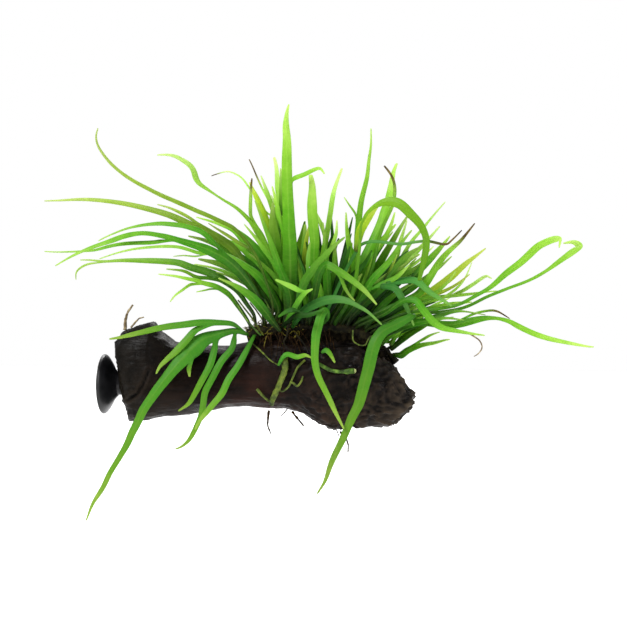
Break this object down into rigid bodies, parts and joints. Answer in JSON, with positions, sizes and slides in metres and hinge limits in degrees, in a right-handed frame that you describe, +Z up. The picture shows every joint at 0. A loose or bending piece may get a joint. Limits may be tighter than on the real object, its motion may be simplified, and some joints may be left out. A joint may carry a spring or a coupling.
{
  "type": "aquarium fern on driftwood",
  "caption": "Narrow-leaved java fern growing from a creeping stem along the top of a knotty piece of dark driftwood, with a black suction cup on the sawn end.",
  "frame": {"origin": "centre of the suction cup's rim, in the plane that meets the glass", "axes": "+X along the wood away from the glass, +Z up, -Y towards the front of the plant"},
  "size_m": [0.2814, 0.0748, 0.2035],
  "materials": {
    "black_rubber": "satin black",
    "dark_driftwood": "wet dark bark",
    "fern_leaf": "soft leathery green",
    "young_leaf": "soft light green",
    "rhizome": "olive, scaly",
    "root": "brown, fibrous",
    "dry_stalk": "grey-brown, dry"
  },
  "bodies": {
    "root": {"cut_stub": "rhizome", "driftwood": "dark_driftwood", "dry_stalk_1": "dry_stalk", "dry_stalk_2": "dry_stalk", "frond_front_1": "fern_leaf", "frond_front_2": "fern_leaf", "frond_front_3": "fern_leaf", "frond_front_4": "fern_leaf", "frond_front_5": "fern_leaf", "frond_hanging_1": "young_leaf", "frond_hanging_2": "young_leaf", "frond_hanging_3": "young_leaf", "frond_hanging_4": "young_leaf", "frond_inner_1": "fern_leaf", "frond_inner_2": "fern_leaf", "frond_inner_3": "fern_leaf", "frond_inner_4": "fern_leaf", "frond_left_1": "fern_leaf", "frond_left_10": "fern_leaf", "frond_left_2": "fern_leaf", "frond_left_3": "fern_leaf", "frond_left_4": "fern_leaf", "frond_left_5": "fern_leaf", "frond_left_6": "fern_leaf", "frond_left_7": "fern_leaf", "frond_left_8": "fern_leaf", "frond_left_9": "fern_leaf", "frond_right_1": "fern_leaf", "frond_right_10": "fern_leaf", "frond_right_11": "fern_leaf", "frond_right_12": "fern_leaf", "frond_right_2": "fern_leaf", "frond_right_3": "fern_leaf", "frond_right_4": "fern_leaf", "frond_right_5": "fern_leaf", "frond_right_6": "fern_leaf", "frond_right_7": "fern_leaf", "frond_right_8": "fern_leaf", "frond_right_9": "fern_leaf", "frond_top_1": "fern_leaf", "frond_top_10": "fern_leaf", "frond_top_11": "fern_leaf", "frond_top_2": "fern_leaf", "frond_top_3": "fern_leaf", "frond_top_4": "fern_leaf", "frond_top_5": "fern_leaf", "frond_top_6": "fern_leaf", "frond_top_7": "fern_leaf", "frond_top_8": "fern_leaf", "frond_top_9": "fern_leaf", "rhizome_back": "rhizome", "rhizome_front": "rhizome", "rhizome_main": "rhizome", "root_1": "root", "root_2": "root", "root_3": "root", "small_leaf_1": "young_leaf", "small_leaf_2": "young_leaf", "suction_cup": "black_rubber"}
  },
  "joints": []
}
